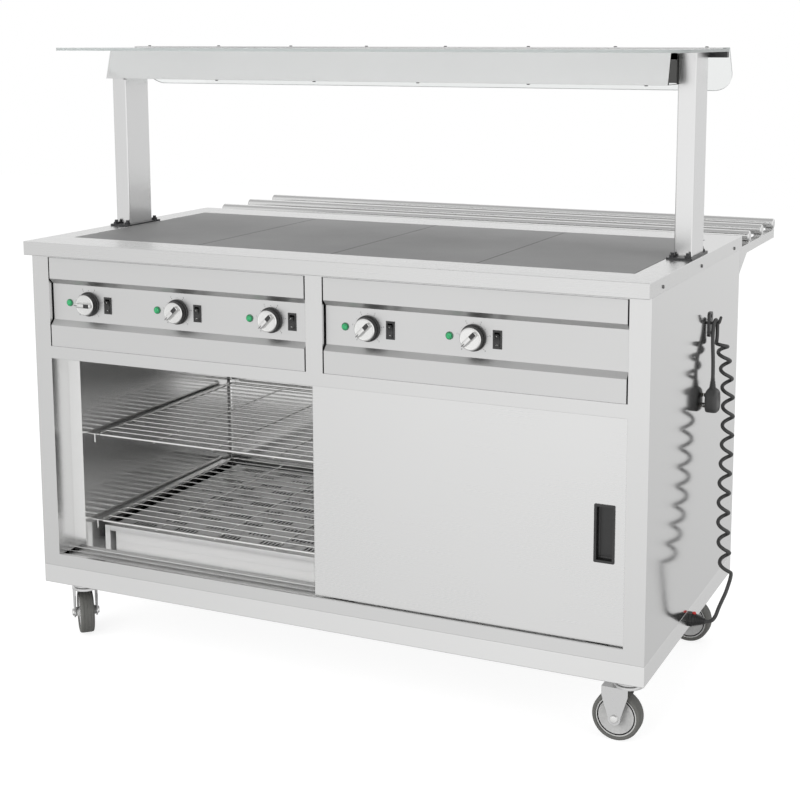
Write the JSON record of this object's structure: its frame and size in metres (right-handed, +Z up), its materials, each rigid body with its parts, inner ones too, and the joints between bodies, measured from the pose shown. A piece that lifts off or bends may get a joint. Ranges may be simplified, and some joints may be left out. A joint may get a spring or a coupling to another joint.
{
  "type": "heated serving trolley",
  "caption": "Stainless steel hot cupboard on castors with a heated tile top, sliding doors, heat-lamp gantry, glass shelf, tray slide and curly mains cord.",
  "frame": {"origin": "on the floor, at the middle of the box round the trolley without its cord in X and Y", "axes": "+X along the cabinet to the end with the cord, +Y from the operator's side with the doors to the customer's side with the tray slide, +Z up"},
  "size_m": [1.5168, 1.0944, 1.3587],
  "materials": {
    "steel": "brushed",
    "panel_steel": "satin",
    "gantry_steel": "satin",
    "liner_steel": "brushed",
    "wire": "bright",
    "zinc": "zinc plated",
    "tile": "matte",
    "element": "oxidised",
    "clear_glass": "clear",
    "black_plastic": "fine grain",
    "black_gloss": "gloss",
    "black_plate": "semi-matte",
    "lamp_green": "gloss",
    "grey_plastic": "matte",
    "knob_metal": "satin",
    "lamp_white": "matte",
    "tyre": "matte",
    "hub": "satin",
    "cord_black": "matte"
  },
  "bodies": {
    "cabinet": {"base_frame": "steel", "side_panels": "panel_steel", "back_panel": "panel_steel", "front_frame": "steel", "control_panels": "steel", "worktop": "steel", "heated_tiles": "tile", "heating_elements": "element", "inner_liner": "liner_steel", "shelf_supports": "liner_steel", "wire_shelves": "wire", "element_cover": "liner_steel", "door_tracks": "steel", "indicator_lamps": "lamp_green", "thermostats": "grey_plastic", "switch_housings": "black_gloss", "gantry_posts": "gantry_steel", "post_bases": "black_plate", "lamp_housing": "gantry_steel", "heat_lamps": "lamp_white", "top_glass": "clear_glass", "visor_rail": "gantry_steel", "rear_visor": "clear_glass", "visor_clamps": "black_plastic", "small_screws": "zinc", "tray_rails": "steel", "tray_brackets": "steel", "castor_plates": "zinc", "cord_hook": "zinc", "cable_gland": "black_plastic", "cord_lower": "cord_black", "cord_coil": "cord_black", "cord_upper": "cord_black", "plug": "black_gloss"},
    "front_door": {"front_door": "steel", "front_door_pull": "black_plastic"},
    "rear_door": {"rear_door": "steel", "rear_door_pull": "black_plastic"},
    "knob_1": {"knob_1": "knob_metal"},
    "rocker_1": {"rocker_1": "black_gloss"},
    "knob_2": {"knob_2": "knob_metal"},
    "rocker_2": {"rocker_2": "black_gloss"},
    "knob_3": {"knob_3": "knob_metal"},
    "rocker_3": {"rocker_3": "black_gloss"},
    "knob_4": {"knob_4": "knob_metal"},
    "rocker_4": {"rocker_4": "black_gloss"},
    "knob_5": {"knob_5": "knob_metal"},
    "rocker_5": {"rocker_5": "black_gloss"},
    "castor_front_left": {"castor_fork_front_left": "zinc"},
    "wheel_front_left": {"castor_tyre_front_left": "tyre", "castor_hub_front_left": "hub"},
    "castor_front_right": {"castor_fork_front_right": "zinc"},
    "wheel_front_right": {"castor_tyre_front_right": "tyre", "castor_hub_front_right": "hub"},
    "castor_back_left": {"castor_fork_back_left": "zinc"},
    "wheel_back_left": {"castor_tyre_back_left": "tyre", "castor_hub_back_left": "hub"},
    "castor_back_right": {"castor_fork_back_right": "zinc"},
    "wheel_back_right": {"castor_tyre_back_right": "tyre", "castor_hub_back_right": "hub"}
  },
  "joints": [
    {"name": "front_door_slide", "type": "slide", "parent": "cabinet", "child": "front_door", "axis": [-1, 0, 0], "range_m": [0, 0.653]},
    {"name": "rear_door_slide", "type": "slide", "parent": "cabinet", "child": "rear_door", "axis": [-1, 0, 0], "range_m": [0, 0.653]},
    {"name": "knob_1_turn", "type": "hinge", "parent": "cabinet", "child": "knob_1", "pos_m": [-0.56925, -0.52225, 0.799], "axis": [0, 1, 0], "range_deg": [-45, 225]},
    {"name": "rocker_1_tilt", "type": "hinge", "parent": "cabinet", "child": "rocker_1", "pos_m": [-0.51875, -0.50625, 0.799], "axis": [1, 0, 0], "range_deg": [-18, 0]},
    {"name": "knob_2_turn", "type": "hinge", "parent": "cabinet", "child": "knob_2", "pos_m": [-0.33925, -0.52225, 0.799], "axis": [0, 1, 0], "range_deg": [0, 270]},
    {"name": "rocker_2_tilt", "type": "hinge", "parent": "cabinet", "child": "rocker_2", "pos_m": [-0.28875, -0.50625, 0.799], "axis": [1, 0, 0], "range_deg": [-18, 0]},
    {"name": "knob_3_turn", "type": "hinge", "parent": "cabinet", "child": "knob_3", "pos_m": [-0.10925, -0.52225, 0.799], "axis": [0, 1, 0], "range_deg": [0, 270]},
    {"name": "rocker_3_tilt", "type": "hinge", "parent": "cabinet", "child": "rocker_3", "pos_m": [-0.05875, -0.50625, 0.799], "axis": [1, 0, 0], "range_deg": [-18, 0]},
    {"name": "knob_4_turn", "type": "hinge", "parent": "cabinet", "child": "knob_4", "pos_m": [0.11525, -0.52225, 0.799], "axis": [0, 1, 0], "range_deg": [0, 270]},
    {"name": "rocker_4_tilt", "type": "hinge", "parent": "cabinet", "child": "rocker_4", "pos_m": [0.16575, -0.50625, 0.799], "axis": [1, 0, 0], "range_deg": [-18, 0]},
    {"name": "knob_5_turn", "type": "hinge", "parent": "cabinet", "child": "knob_5", "pos_m": [0.34525, -0.52225, 0.799], "axis": [0, 1, 0], "range_deg": [0, 270]},
    {"name": "rocker_5_tilt", "type": "hinge", "parent": "cabinet", "child": "rocker_5", "pos_m": [0.39575, -0.50625, 0.799], "axis": [1, 0, 0], "range_deg": [-18, 0]},
    {"name": "swivel_front_left", "type": "hinge", "parent": "cabinet", "child": "castor_front_left", "pos_m": [-0.65725, -0.44525, 0.118], "axis": [0, 0, 1], "continuous": true},
    {"name": "roll_front_left", "type": "hinge", "parent": "castor_front_left", "child": "wheel_front_left", "pos_m": [-0.67157, -0.42989, 0.05], "axis": [-0.7314, -0.682, 0], "continuous": true},
    {"name": "swivel_front_right", "type": "hinge", "parent": "cabinet", "child": "castor_front_right", "pos_m": [0.65275, -0.44525, 0.118], "axis": [0, 0, 1], "continuous": true},
    {"name": "roll_front_right", "type": "hinge", "parent": "castor_front_right", "child": "wheel_front_right", "pos_m": [0.63175, -0.44525, 0.05], "axis": [0, -1, 0], "continuous": true},
    {"name": "swivel_back_left", "type": "hinge", "parent": "cabinet", "child": "castor_back_left", "pos_m": [-0.65725, 0.10075, 0.118], "axis": [0, 0, 1], "continuous": true},
    {"name": "roll_back_left", "type": "hinge", "parent": "castor_back_left", "child": "wheel_back_left", "pos_m": [-0.6407, 0.11368, 0.05], "axis": [-0.6157, 0.788, 0], "continuous": true},
    {"name": "swivel_back_right", "type": "hinge", "parent": "cabinet", "child": "castor_back_right", "pos_m": [0.65275, 0.10075, 0.118], "axis": [0, 0, 1], "continuous": true},
    {"name": "roll_back_right", "type": "hinge", "parent": "castor_back_right", "child": "wheel_back_right", "pos_m": [0.63176, 0.10148, 0.05], "axis": [-0.0349, -0.9994, 0], "continuous": true}
  ]
}
